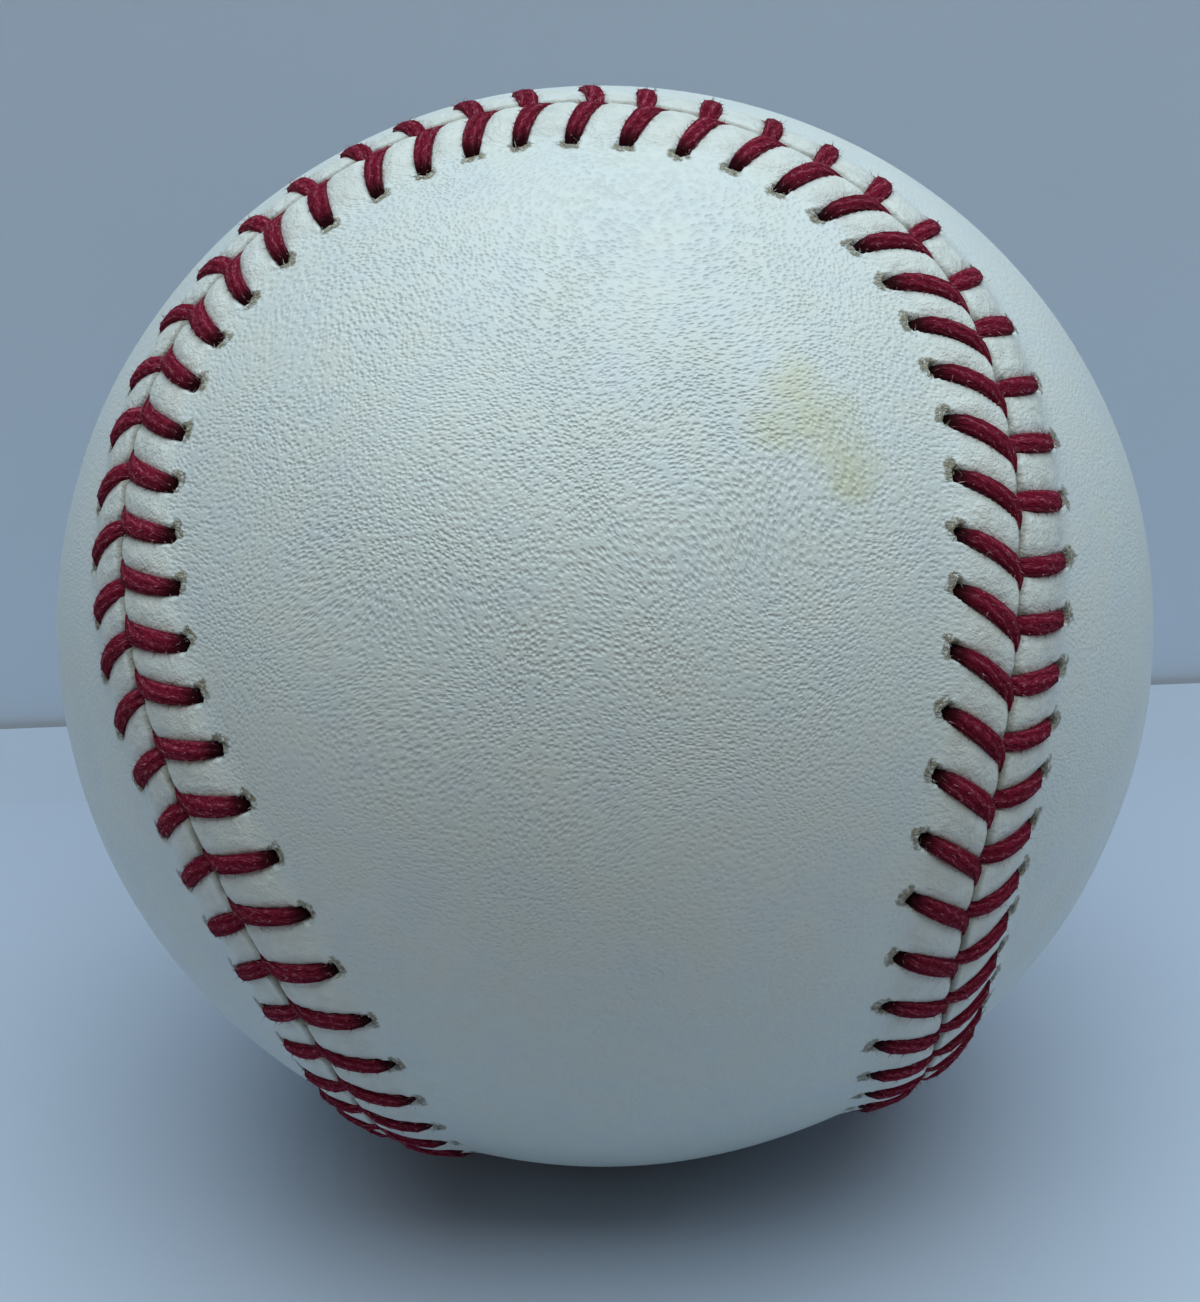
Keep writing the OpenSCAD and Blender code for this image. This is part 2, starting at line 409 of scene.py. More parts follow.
def panel_faces(side, dense, top, under):
    """Points and faces of a panel, with the axis points of top and underside welded. Panel B's
    rows run the other way round, so its faces are turned over."""
    first, inverse = axis_weld(side)
    blocks = [dense, top[:, :-1], top[first, -1:], under[:, 1:], under[first, :1]]
    ids = []
    count = 0
    for block in blocks:
        size = block.shape[0] * block.shape[1]
        ids.append(count + np.arange(size).reshape(block.shape[:2]))
        count += size
    points = np.concatenate([block.reshape(-1, 3) for block in blocks])
    dense_ids = ids[0]
    top_ids = np.hstack([ids[1], ids[2][inverse]])
    under_ids = np.hstack([ids[4][inverse], ids[3]])
    quads = [strip(grid[:, :-1], grid[:, 1:]) for grid in (dense_ids, top_ids, under_ids)]
    fans = [fan(dense_ids[:, -1], top_ids[:, 0], True),
            fan(dense_ids[:, 0], under_ids[:, -1], False)]
    return points, [np.concatenate(part)[:, ::side] for part in (quads, fans)]


# %% Make a mesh object, and measure it


def mesh_object(name, points, faces):
    """Object in the scene whose mesh is made of points in metres and lists of faces."""
    mesh = bpy.data.meshes.new(name)
    mesh.from_pydata(points.tolist(), [], [f for part in faces for f in part.tolist()])
    made = bpy.data.objects.new(name, mesh)
    bpy.context.scene.collection.objects.link(made)
    return made


def make_piece(name, points, faces, attributes=None, uv=None):
    """Smooth shaded piece from points in mm, which rides on the ball's only body."""
    piece = mesh_object(name, points * MM, faces)
    mesh = piece.data
    for key, values in (attributes or {}).items():
        layer = mesh.attributes.new(key, "FLOAT", "POINT")
        layer.data.foreach_set("value", values.astype(np.float32))
    if uv is not None:
        mesh.uv_layers.new(name="UVMap").data.foreach_set("uv", uv.astype(np.float32).ravel())
    mesh.shade_smooth()
    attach(piece, "root")
    triangles = sum(len(p.vertices) - 2 for p in mesh.polygons)
    print(name, "has", len(mesh.vertices), "points and", triangles, "triangles")
    return piece


# %% Both panels
# How dark each panel's needle holes are painted: dirt and painted shade in the pit
HOLE_DIRT_AND_SHADE = {1: 0.55, -1: 1.0}
HOLE_EDGE = (0.35, 0.80)
GRAIN_FROM = (-1.2, 0.5)
TEAR_EDGE = (0.45, 1.10)
CREASE_EDGE = (0.05, 0.60)
CREASE_BY_LEG = 0.40
LEG_SHADOW = (0.4, 1.3)
RUB_AT, RUB_WIDTH, RUB_END = 0.76, 0.13, (-0.9, 0.0)


def make_panel(name, side, node):
    """A leather panel with its masks: grain, torn patch, rubbed dye, and the holes' and the
    crease's darkening, which is dirt and painted shade.
    """
    dense, top, under, (q, d) = panel_points(side)
    points, faces = panel_faces(side, dense, top, under)
    w = across_leg(side, q, d)
    from_hole = d - seen(INSET[side], q)
    tear_reach = hole_reach(side, q, d, TEAR_BEYOND, TEAR_ASIDE, TEAR_SIZE)
    masks = {
        "grain": smooth(*GRAIN_FROM, from_hole),
        "hole": HOLE_DIRT_AND_SHADE[side] * (1 - smooth(*HOLE_EDGE, hole_reach(side, q, d))),
        "tear": 1 - smooth(*TEAR_EDGE, tear_reach),
        # Darker along the crease, wider beside each leg: seam dirt and painted shade
        "crease": 1 - smooth(*CREASE_EDGE, d - CREASE_BY_LEG * (1 - smooth(*LEG_SHADOW, w))),
        "rub": np.exp(-((w - RUB_AT) / RUB_WIDTH) ** 2) * (1 - smooth(*RUB_END, from_hole)),
    }
    values = {}
    for key, mask in masks.items():
        edged = np.pad(mask, ((0, 0), (len(wall_shares), 0)), mode="edge").ravel()
        rest = np.full(len(points) - len(edged), float(key == "grain"))
        values[key] = np.concatenate([edged, rest])
    piece = make_piece(name, points, faces, values)
    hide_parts(node)
    return piece


panel_a = make_panel("panel_a_hide", 1, "cover_panel_a")
panel_b = make_panel("panel_b_hide", -1, "cover_panel_b")

# %% [markdown]
# ## The thread
# The thread is waxed cotton of several plies, pressed flat where it lies on the leather, so each
# leg is a band 1.3 mm wide and 0.7 mm thick. It bends down into its hole, and panel B's legs end
# in a thin tail along the crease. A flattened ring is carried along each leg's path, which follows
# the leather's own height. The plies are too fine for a mesh that is repeated 216 times, so they
# are left to the material, which reads the UV map: along the leg in mm, and once round it.

# %% Paths of all legs on one panel
LEG_SHARES = np.array([0, 0.09, 0.18, 0.34, 0.50, 0.65, 0.77, 0.86, 0.93, 1.0])
RING_STEPS = 8
THREAD_WIDE = 1.30
THREAD_THICK = 0.70
LEG_VARIES, LEG_PHASE = 0.08, 2.1
FLATNESS = 0.8
HOLE_WIDTH = 0.80
FULL_WIDTH_AT = 0.42
LEG_START = 0.05
SINK = 1.15
SINK_SPAN = (-0.8, 0.3)
DIVE_SPAN = (-0.3, 1.2)
TAIL_FROM = 0.70
CREASE_AT = {1: 1.0, -1: 0.85}
END_D = {1: -0.55, -1: -0.05}
TAIL_RUN = {1: 0.0, -1: 0.28}
TAIL_NARROW = {1: 0.15, -1: 0.80}
TAIL_DIVE = {1: 0.55, -1: 0.38}


def leg_paths(side, i):
    """Middle line of each leg: distance falls from the hole to the tip, and height is the ridge
    less the groove, plus half the thread, less a dive at either end."""
    share = LEG_SHARES[None, :]
    start = INSET_AT[side][i][:, None] + LEG_START
    d = start + (END_D[side] - start) * np.minimum(share / CREASE_AT[side], 1)
    q = leg_station(side, np.broadcast_to(i[:, None], d.shape), d)
    q = q - TAIL_RUN[side] * smooth(TAIL_FROM, 1, share)
    sunk = SINK * smooth(start + SINK_SPAN[0], start + SINK_SPAN[1], d)
    dive = TAIL_DIVE[side] * (1 - smooth(*DIVE_SPAN, d))
    lift = ridge(np.abs(d)) - GROOVE + THREAD_THICK / 2 - sunk - dive
    way = on_hide(side, q, d)
    points = way * (BALL_R + lift + waviness(way))[..., None]
    return points, share


def leg_mesh(side, i):
    """A flattened ring on each path: its width lies along the leather and square to the path."""
    path, share = leg_paths(side, i)
    ahead = unit(np.gradient(path, axis=1))
    over = unit(np.cross(ahead, unit(path)))
    up = np.cross(over, ahead)
    narrow = 1 - TAIL_NARROW[side] * smooth(TAIL_FROM, 1, share)
    own = 1 + LEG_VARIES * np.sin(i * LEG_PHASE + side)[:, None]
    spread = HOLE_WIDTH + (1 - HOLE_WIDTH) * smooth(0, FULL_WIDTH_AT, share)
    wide = THREAD_WIDE * own * spread * narrow
    thick = THREAD_THICK * (1 + narrow) / 2
    turn = np.arange(RING_STEPS) / RING_STEPS * 2 * math.pi
    flat_x = np.sign(np.cos(turn)) * np.abs(np.cos(turn)) ** FLATNESS
    flat_y = np.sign(np.sin(turn)) * np.abs(np.sin(turn)) ** FLATNESS
    rings = (path[:, :, None]
             + over[:, :, None] * (wide[..., None, None] / 2 * flat_x[:, None])
             + up[:, :, None] * (thick[..., None, None] / 2 * flat_y[:, None]))
    return rings, path


# %% Both strands as closed meshes
UV_PER_LEG = 6.7
DEEP_SHARES = (0.05, 0.22)


def tube_quads(ids):
    """Quads between neighbouring rings, from point numbers by tube, ring and place on the ring."""
    after = np.roll(ids, -1, axis=2)
    return np.stack([ids[:, :-1], after[:, :-1], after[:, 1:], ids[:, 1:]], -1).reshape(-1, 4)


def strand(name, first_side, node):
    """All legs of one needle, which sews every other leg on either panel, as one closed mesh."""
    rings, runs = [], []
    for side in (1, -1):
        i = np.arange(STITCHES)
        i = i[(i % 2 == 0) == (side == first_side)]
        ring, path = leg_mesh(side, i)
        run = np.linalg.norm(np.diff(path, axis=1), axis=-1).cumsum(axis=1)
        runs.append(np.concatenate([np.zeros((len(i), 1)), run], axis=1) + i[:, None] * UV_PER_LEG)
        rings.append(ring)
    rings = np.concatenate(rings)
    ids = np.arange(rings[..., 0].size).reshape(rings.shape[:-1])
    caps = np.concatenate([ids[:, 0, ::-1], ids[:, -1]])
    around = np.arange(RING_STEPS + 1) / RING_STEPS
    u = np.repeat(np.concatenate(runs)[:, :, None], RING_STEPS + 1, axis=2)
    both = np.stack([u, np.broadcast_to(around, u.shape)], axis=-1)
    side_uv = np.stack([both[:, :-1, :-1], both[:, :-1, 1:], both[:, 1:, 1:], both[:, 1:, :-1]], -2)
    cap_uv = [both[:, 0, -2::-1], both[:, -1, :-1]]
    uv = np.concatenate([part.reshape(-1, 2) for part in [side_uv] + cap_uv])
    shade = np.repeat(np.random.default_rng(5).uniform(0, 1, len(ids)), ids[0].size)
    # Darkening towards the hole end, for dirt and painted shade in the hole
    dirt_and_shade_in_hole = np.broadcast_to(1 - smooth(*DEEP_SHARES, LEG_SHARES)[None, :, None], ids.shape)
    masks = {"leg_shade": shade, "dirt_and_shade_in_hole": dirt_and_shade_in_hole.ravel()}
    faces = [tube_quads(ids), caps]
    piece = make_piece(name, rings.reshape(-1, 3), faces, masks, uv)
    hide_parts(node)
    return piece


strand_a = strand("strand_a_thread", 1, "stitch_strand_a")
strand_b = strand("strand_b_thread", -1, "stitch_strand_b")

# %% [markdown]
# ## Loose fibres
# On a used ball the cotton has a short fuzz, and the hide is torn round each hole, with pale fibres
# standing up from it. Each fibre is a thin three-sided spike of three steps, which is enough at
# its size, and all of them are made at once as arrays.

# %% Fibres as spikes
FIBRE_RINGS = 3
FIBRE_SIDES = 3
FIBRE_TAPER = 0.8
FIBRE_DROOP = 0.5


def fibres(name, root, aim, seed, length, thick):
    """Spikes that leave root along aim, bend aside by the square of the way, and thin out. Length
    and thickness lie between the two given in mm."""
    root, aim = np.concatenate(root), np.concatenate(aim)
    droop = seed.normal(0, FIBRE_DROOP, aim.shape)
    span = seed.uniform(*length, len(root))[:, None, None]
    thick = seed.uniform(*thick, len(root))[:, None, None]
    way = np.linspace(0, 1, FIBRE_RINGS + 1)[None, :, None]
    line = root[:, None] + aim[:, None] * span * way + droop[:, None] * span * way ** 2
    side_a = unit(np.cross(aim, unit(root)) + 0.01)[:, None, None]
    side_b = np.cross(side_a, aim[:, None, None])
    turn = (np.arange(FIBRE_SIDES) / FIBRE_SIDES * 2 * math.pi)[:, None]
    ring = side_a * np.cos(turn) + side_b * np.sin(turn)
    body = line[:, :-1, None] + ring * (thick * (1 - FIBRE_TAPER * way[:, :-1]))[..., None]
    ids = np.arange(body[..., 0].size).reshape(body.shape[:-1])
    tips = np.repeat(ids.size + np.arange(len(root))[:, None], FIBRE_SIDES, axis=1)
    ends = np.stack([ids[:, -1], np.roll(ids[:, -1], -1, axis=1), tips], -1).reshape(-1, 3)
    points = np.concatenate([body.reshape(-1, 3), line[:, -1]])
    return make_piece(name, points, [tube_quads(ids), ends, ids[:, 0, ::-1]])


# %% Fuzz on the thread and torn fibres round the holes
FUZZ_PER_LEG = 54
FUZZ_LEAN, FUZZ_STRAY = 0.9, 0.3
FUZZ_LENGTH, FUZZ_THICK = (0.12, 0.34), (0.020, 0.020)
TORN_PER_HOLE = 7
TORN_ANGLE, TORN_AWAY = (-0.4, math.pi + 0.4), (0.7, 1.5)
TORN_LEAN, TORN_UP, TORN_STRAY = (0.1, 0.8), 0.7, 0.35
TORN_LENGTH, TORN_THICK = (0.12, 0.36), (0.02, 0.06)
TORN_ROOT = 0.15


def thread_fuzz():
    """Short cotton fibres that start anywhere on the upper half of a leg and lean along it."""
    seed = np.random.default_rng(21)
    roots, aims = [], []
    for side in (1, -1):
        rings, path = leg_mesh(side, np.arange(STITCHES))
        leg = np.repeat(np.arange(STITCHES), FUZZ_PER_LEG)
        step = seed.integers(1, len(LEG_SHARES) - 2, len(leg))
        at = seed.integers(0, RING_STEPS // 2 + 1, len(leg))
        ahead = unit(path[leg, step + 1] - path[leg, step])
        roots.append(rings[leg, step, at])
        out = unit(rings[leg, step, at] - path[leg, step])
        lean = ahead * seed.normal(0, FUZZ_LEAN, (len(leg), 1))
        aims.append(unit(out + lean + seed.normal(0, FUZZ_STRAY, out.shape)))
    return fibres("thread_fuzz", roots, aims, seed, FUZZ_LENGTH, FUZZ_THICK)


def torn_fibres():
    """Torn hide fibres on each hole's rim: they start on the rim and lean out over the leather."""
    seed = np.random.default_rng(33)
    roots, aims = [], []
    for side in (1, -1):
        i = np.repeat(np.arange(STITCHES), TORN_PER_HOLE)
        angle = seed.uniform(*TORN_ANGLE, len(i))
        away = seed.uniform(*TORN_AWAY, len(i))
        hole_q = i + HOLE_AT[side][i]
        hole_d = INSET_AT[side][i]
        d = hole_d + HOLE_HALF[1] * away * np.sin(angle)
        base = on_hide(side, hole_q + HOLE_HALF[0] * away * np.cos(angle) / PITCH, d)
        roots.append(base * (BALL_R + ridge(d) + waviness(base) - TORN_ROOT)[:, None])
        lean = unit(base - on_hide(side, hole_q, hole_d)) * seed.normal(*TORN_LEAN, (len(i), 1))
        aims.append(unit(lean + base * TORN_UP + seed.normal(0, TORN_STRAY, base.shape)))
    return fibres("torn_hole_fibres", roots, aims, seed, TORN_LENGTH, TORN_THICK)


fuzz = thread_fuzz()
torn = torn_fibres()

# %% [markdown]
# ## The camera
# The camera stands where the photograph was taken from, about 185 mm from the ball's centre, found
# by fitting the seam's stitches and the ball's outline. The ball lay rolled a few degrees from its
# own axes, so here the camera is rolled instead.

# %% Place the camera
PHOTO_SIZE = (1200, 1302)
FOCAL_PIXELS = 2655.9
CENTRE_IN_CAMERA = np.array([0.0077, -0.0406, 4.9519])
camera_at = -(np.stack([right, down, forward]).T @ CENTRE_IN_CAMERA) * BALL_R

camera_data = bpy.data.cameras.new("photo_camera")
camera_data.sensor_width = 36
camera_data.lens = FOCAL_PIXELS / max(PHOTO_SIZE) * camera_data.sensor_width
camera_data.clip_start = 0.005


def stand(name, data, *columns):
    """A camera or lamp in the scene, from its three axes and its place in metres."""
    made = bpy.data.objects.new(name, data)
    made.matrix_world = Matrix([*np.column_stack(columns).tolist(), [0, 0, 0, 1]])
    bpy.context.scene.collection.objects.link(made)
    return made


camera = stand("photo_camera", camera_data, right, -down, -forward, camera_at * MM)
bpy.context.scene.camera = camera
print("camera at", camera_at.round(1), "mm with lens", round(camera_data.lens, 2), "mm")


def ball_point(pixel_x, pixel_y):
    """Point in metres where the ray through a pixel of the photograph first meets the ball."""
    ray = unit(forward + right * (pixel_x - PHOTO_SIZE[0] / 2) / FOCAL_PIXELS
               + down * (pixel_y - PHOTO_SIZE[1] / 2) / FOCAL_PIXELS)
    half = -ray @ camera_at
    near = half - math.sqrt(half * half - camera_at @ camera_at + BALL_R * BALL_R)
    return tuple((camera_at + ray * near) * MM)


# %% [markdown]
# ## Materials
# Every finish is a graph of nodes on Object coordinates in metres, or on the thread's UV map, so
# that it sits still on the ball. Colours are sRGB hex, turned linear by one function, and one small
# function adds a node with its settings and links. What most finishes share has a function too: the
# new material, how colour and relief reach its shader, and a plain mottle.

# %% Helpers for colours and nodes


def linear(code):
    """Linear RGBA of an sRGB hex code: each channel by the sRGB curve's own two pieces."""
    channels = [int(code[k:k + 2], 16) / 255 for k in (0, 2, 4)]
    return [c / 12.92 if c <= 0.04045 else ((c + 0.055) / 1.055) ** 2.4 for c in channels] + [1.0]


def add_node(tree, kind, inputs=(), out=0, stops=(), **settings):
    """Adds a node and returns one of its outputs. Settings are its properties, inputs its sockets'
    values or what feeds them, in order or by name, and stops a ramp's places and hex colours."""
    made = tree.nodes.new("ShaderNode" + kind)
    for key, value in settings.items():
        setattr(made, key, value)
    for key, value in inputs.items() if isinstance(inputs, dict) else enumerate(inputs):
        if isinstance(value, bpy.types.NodeSocket):
            tree.links.new(value, made.inputs[key])
        else:
            made.inputs[key].default_value = value
    for k, (at, code) in enumerate(stops):
        points = made.color_ramp.elements
        ends = {0: points[0], len(stops) - 1: points[-1]}
        point = ends[k] if k in ends else points.new(at)
        point.position = at
        point.color = linear(code)
    return made.outputs[out]


def new_material(name, **values):
    """A material, its shader with values by socket name, its add_node and Object coordinates."""
    material = bpy.data.materials.new(name)
    material.use_nodes = True
    shader = material.node_tree.nodes["Principled BSDF"]
    for key, value in values.items():
        shader.inputs[key.replace("_", " ")].default_value = value
    add = partial(add_node, material.node_tree)
    return material, shader, add, add("TexCoord", out="Object")


def surface(shader, add, colour, height, depth, strength=1.0):
    """Feeds the shader a colour, and a relief that is depth in mm where the height is 1."""
    bump = add("Bump", {"Height": height, "Strength": strength, "Distance": depth * MM})
    shader.id_data.links.new(colour, shader.inputs["Base Color"])
    shader.id_data.links.new(bump, shader.inputs["Normal"])


def mottled(name, size, stops, detail=2.0, **values):
    """A flat finish whose colour wanders over the stops, in blotches of the size in mm."""
    material, shader, add, place = new_material(name, **values)
    blotch = add("TexNoise", {"Vector": place, "Scale": 1 / (size * MM), "Detail": detail})
    tone = add("ValToRGB", (blotch,), stops=stops)
    shader.id_data.links.new(tone, shader.inputs["Base Color"])
    return material, shader, add


def dress(material, *pieces):
    """The material as each piece's only one."""
    for piece in pieces:
        piece.data.materials.clear()
        piece.data.materials.append(material)


# %% [markdown]
# ### White cowhide
# The cover is alum-tanned cowhide, rolled smooth and white. What is left of its grain is a field of
# small pits about a third of a millimetre apart, drawn out in wandering rows. They hardly
# differ in colour, so they are a bump: cells of a Voronoi texture, each with a pit at its middle,
# where a little painted shade darkens the colour. On the seam's ridge the grain is stretched flat
# and finely wrinkled. Hands and dust leave the ball unevenly toned, with a yellowish stain, a few
# specks and red dye along the stitches. The crease and the needle holes are darker, which is partly
# dirt and partly painted shade.

# %% Patterns of the cowhide
GRAIN_ACROSS = 0.28
GRAIN_ALONG = 0.35
GRAIN_TURN = (0, math.radians(14), 0)
ROWS_WANDER = 6.0
ROWS_WANDER_OVER = 14.0
PIT_WALL = (0.12, 0.62)
# The grain is whole within 16 mm of this pixel's point on the ball, and 0.4 of that past 34 mm
ROLLED_AT = (560, 380, 16, 34, 0.4)
# Each noise's blotches in mm, its detail and its roughness
HIDE_NOISES = {
    "wear": (6.0, 2, 0.5), "tone": (3.2, 1, 0.5), "stain": (2.6, 3, 0.5), "ragged": (1.6, 3, 0.5),
    "smudge": (1.1, 3, 0.5), "fold": (0.9, 3, 0.55), "wrinkle": (0.3, 3, 0.6),
    "pore": (0.15, 2, 0.6)}
# What is made of a noise: its name, its range, and the range that this becomes
HIDE_SHARES = {
    "worn": ("wear", 0.3, 0.65, 0.6, 1), "gloss": ("wear", 0.3, 0.7, 0.34, 0.46),
    "smudge": ("smudge", 0.40, 0.68, 0, 1), "fold": ("fold", 0.38, 0.62, 0, 1),
    "dye": ("wrinkle", 0.46, 0.62, 0, 0.30), "torn": ("wrinkle", 0.36, 0.60, 0.25, 1.3),
    "pale": ("pore", 0.56, 0.70, 0, 1), "dark": ("pore", 0.44, 0.36, 0, 0.8)}
HIDE_STOPS = (0.32, "d6e0e0"), (0.50, "d9e2df"), (0.68, "dae1dc")
HIDE_RELIEF = 0.078
# Pixels of the photograph and half widths in mm, of which a spot is whole and faded out by a share
STAIN_WHOLE, STAIN_GONE, SPECK_WHOLE, SPECK_GONE = 0.2, 1.3, 0.5, 1.4
STAIN_SPOTS = ((796, 385, 2.4), (776, 424, 2.2), (820, 420, 3.4), (851, 452, 2.4), (853, 482, 1.8))
SPECKS = ((405, 675, 0.12), (409, 670, 0.07), (401, 680, 0.06), (475, 800, 0.11), (620, 805, 0.07))


def spot(add, place, x, y, start, end, least=0.0):
    """1 within start mm of the ball's point under a pixel of the photograph, least past end mm."""
    away = add("VectorMath", (place, ball_point(x, y)), out="Value", operation="DISTANCE")
    return add("MapRange", (away, start * MM, end * MM, 1, least))


def grain_pits(add, place):
    """The cells' distances to their middles, as 1 in a pit and 0 between, on rows that wander."""
    drift = add("TexNoise", {"Vector": place, "Scale": 1 / (ROWS_WANDER_OVER * MM), "Detail": 1},
                out="Color")
    pull = add("VectorMath", (drift, (0.5,) * 3), operation="SUBTRACT")
    bent = add("VectorMath", (pull, (ROWS_WANDER * MM,) * 3, place), operation="MULTIPLY_ADD")
    sizes = np.array([GRAIN_ALONG, GRAIN_ALONG, GRAIN_ACROSS]) * MM
    laid = add("Mapping", {"Vector": bent, "Rotation": GRAIN_TURN, "Scale": tuple(1 / sizes)})
    cell = add("TexVoronoi", {"Vector": laid, "Scale": 1})
    return add("MapRange", (cell, *PIT_WALL, 1, 0))


# %% Cowhide


def cowhide():
    """Layers of colour, each as strong as the product of its factors, over a relief that is a sum
    of such products."""
    material, shader, add, place = new_material("alum_tanned_cowhide", Roughness=0.50, IOR=1.5)
    mask = {key: add("Attribute", out="Fac", attribute_name=key)
            for key in ("grain", "hole", "tear", "crease", "rub")}
    noise = {key: add("TexNoise", {
        "Vector": place, "Scale": 1 / (size * MM), "Detail": detail, "Roughness": rough})
        for key, (size, detail, rough) in HIDE_NOISES.items()}
    share = {key: add("MapRange", (noise[source], *ranges))
             for key, (source, *ranges) in HIDE_SHARES.items()}
    material.node_tree.links.new(share["gloss"], shader.inputs["Roughness"])
    ridge_skin = add("Math", (1, mask["grain"]), operation="SUBTRACT")
    pit = grain_pits(add, place)
    for factor in (share["worn"], mask["grain"], spot(add, place, *ROLLED_AT)):
        pit = add("Math", (pit, factor), operation="MULTIPLY")
    stain = 0.0
    for x, y, size in STAIN_SPOTS:
        round_spot = spot(add, place, x, y, STAIN_WHOLE * size, STAIN_GONE * size)
        stain = add("Math", (stain, round_spot), operation="MAXIMUM")
    for key, first, second, lo, hi, most in (
            ("stain", stain, noise["stain"], 0.12, 0.52, 0.72),
            # seam dirt and painted shade along the crease
            ("crease_dirt_and_shade", mask["crease"], noise["ragged"], 0.15, 0.60, 0.75),
            ("tear", mask["tear"], share["torn"], 0.22, 0.78, 1.0)):
        both = add("Math", (first, second), operation="MULTIPLY")
        share[key] = add("MapRange", (both, lo, hi, 0, most))

    layers = [
        ("a9aca2", 0.42, share["smudge"], ridge_skin),  # grey smudges between the legs
        ("e4e6dc", 0.40, ridge_skin),  # cleaner, whiter ridge
        ("cfd3b4", 1, share["stain"]),
        # a little painted shade in each grain pit
        ("93a09f", 0.13, pit)]
    layers += [("3a4240", 0.75, spot(add, place, x, y, SPECK_WHOLE * size, SPECK_GONE * size))
               for x, y, size in SPECKS]
    layers += [
        ("a8848a", 1, mask["rub"], share["dye"]),  # red dye beside the legs
        # seam dirt and painted shade along the crease
        ("7a7464", 1, share["crease_dirt_and_shade"]),
        ("857b60", 0.88, share["tear"]),  # torn, tan hide
        ("c9cbbd", 1, share["tear"], share["pale"]),  # its paler fibres
        ("40342a", 1, share["tear"], share["dark"]),  # and gaps between them
        # needle holes nearly black: dirt and painted shade in the pit
        ("17120f", 1, mask["hole"])]
    colour = add("ValToRGB", (noise["tone"],), stops=HIDE_STOPS)
    for over, strength, *factors in layers:
        for factor in factors:
            strength = add("Math", (strength, factor), operation="MULTIPLY")
        colour = add("Mix", {0: strength, 6: colour, 7: linear(over)}, out=2, data_type="RGBA")

    skin = 0.0
    for pattern, weight, *factors in (
            (noise["pore"], 0.36), (pit, -1), (noise["wrinkle"], 0.2),
            (noise["wrinkle"], 1, ridge_skin), (share["fold"], 0.75, ridge_skin),
            (noise["pore"], 1.6, share["tear"])):
        for factor in factors:
            pattern = add("Math", (pattern, factor), operation="MULTIPLY")
        skin = add("Math", (pattern, weight, skin), operation="MULTIPLY_ADD")
    surface(shader, add, colour, skin, HIDE_RELIEF)
    return material


hide = cowhide()
dress(hide, panel_a, panel_b)
print("cowhide has", len(hide.node_tree.nodes), "nodes")

# %% [markdown]
# ### Torn hide
# Under its white surface the hide is a felt of tan fibres. That shows where the needle tore it, so
# the fibres round the holes are paler and darker tan by turns, and quite matt. The mottle is a
# noise of about half a millimetre.

# %% Torn hide fibres
felt, *_ = mottled("torn_hide_fibre", 0.5, ((0.38, "746a50"), (0.60, "c6cabd")), Roughness=0.85)
dress(felt, torn)

# %% [markdown]
# ### Waxed cotton thread
# The thread is red cotton of several twisted plies, drawn through wax, then flattened and worn. The
# plies read as fine lines that run nearly along each leg. The colour follows the relief: darker
# between the plies, which is painted shade, and paler on the raised fibres, where the wax has
# rubbed off. Waves across the UV map's round direction give the plies, and a stretched noise gives
# the fibres. Inside its hole each leg is nearly black, from dirt and painted shade.

# %% Thread
PLIES = 6
TWIST = 0.030
PLY_SWAY, PLY_SWAY_OVER = 0.12, 1.1
PLY_RELIEF = 0.06
FIBRES_ALONG, FIBRES_ROUND = 2.2, 30
THREAD_RELIEF = 0.21
LEG_DARKEST = 0.3
THREAD_STOPS = ((0.34, "46020f"), (0.45, "80142e"), (0.57, "982844"), (0.69, "cc7c8c"))


def cotton_thread():
    """Plies as low waves round the leg, sheared along it for the twist, under fine pale fibres."""
    material, shader, add, place = new_material(
        "waxed_cotton_thread", Roughness=0.85, IOR=1.46, Specular_IOR_Level=0.10)
    uv = add("UVMap", uv_map="UVMap")
    along = add("SeparateXYZ", (uv,), out="X")
    twist = add("VectorMath", (uv, (TWIST, 1, 0)), out="Value", operation="DOT_PRODUCT")
    sway = add("TexNoise", {"Vector": place, "Scale": 1 / (PLY_SWAY_OVER * MM)})
    twist = add("Math", (sway, PLY_SWAY, twist), operation="MULTIPLY_ADD")
    phase = add("Math", (twist, 2 * math.pi * PLIES), operation="MULTIPLY")
    ply = add("Math", (phase,), operation="SINE")
    lay = add("CombineXYZ", (along, twist))
    drawn = add("Mapping", {"Vector": lay, "Scale": (FIBRES_ALONG, FIBRES_ROUND, 1)})
    fibre = add("TexNoise", {"Vector": drawn, "Scale": 1, "Detail": 4, "Roughness": 0.78})
    height = add("Math", (ply, PLY_RELIEF, fibre), operation="MULTIPLY_ADD")
    # The colour follows the relief, so it is darker between the plies: painted shade
    colour = add("ValToRGB", (height,), stops=THREAD_STOPS)
    # The hole end of each leg is darkened towards black: dirt and painted shade in the hole
    for key, most, over in (("leg_shade", LEG_DARKEST, "5a0a20"), ("dirt_and_shade_in_hole", 1, "1a0407")):
        amount = add("Attribute", out="Fac", attribute_name=key)
        amount = add("Math", (amount, most), operation="MULTIPLY")
        colour = add("Mix", {0: amount, 6: colour, 7: linear(over)}, out=2, data_type="RGBA")
    surface(shader, add, colour, height, THREAD_RELIEF)
    return material


dress(cotton_thread(), strand_a, strand_b)

# %% [markdown]
# ### Cotton fuzz
# Single fibres stand off the thread without wax, so they are paler and rougher than the thread. The
# red varies by a noise of about a millimetre.

# %% Fuzz
lint, *_ = mottled("loose_cotton_fibre", 0.9, ((0.35, "8a3a4e"), (0.65, "cd98a0")), Roughness=0.8)
dress(lint, fuzz)

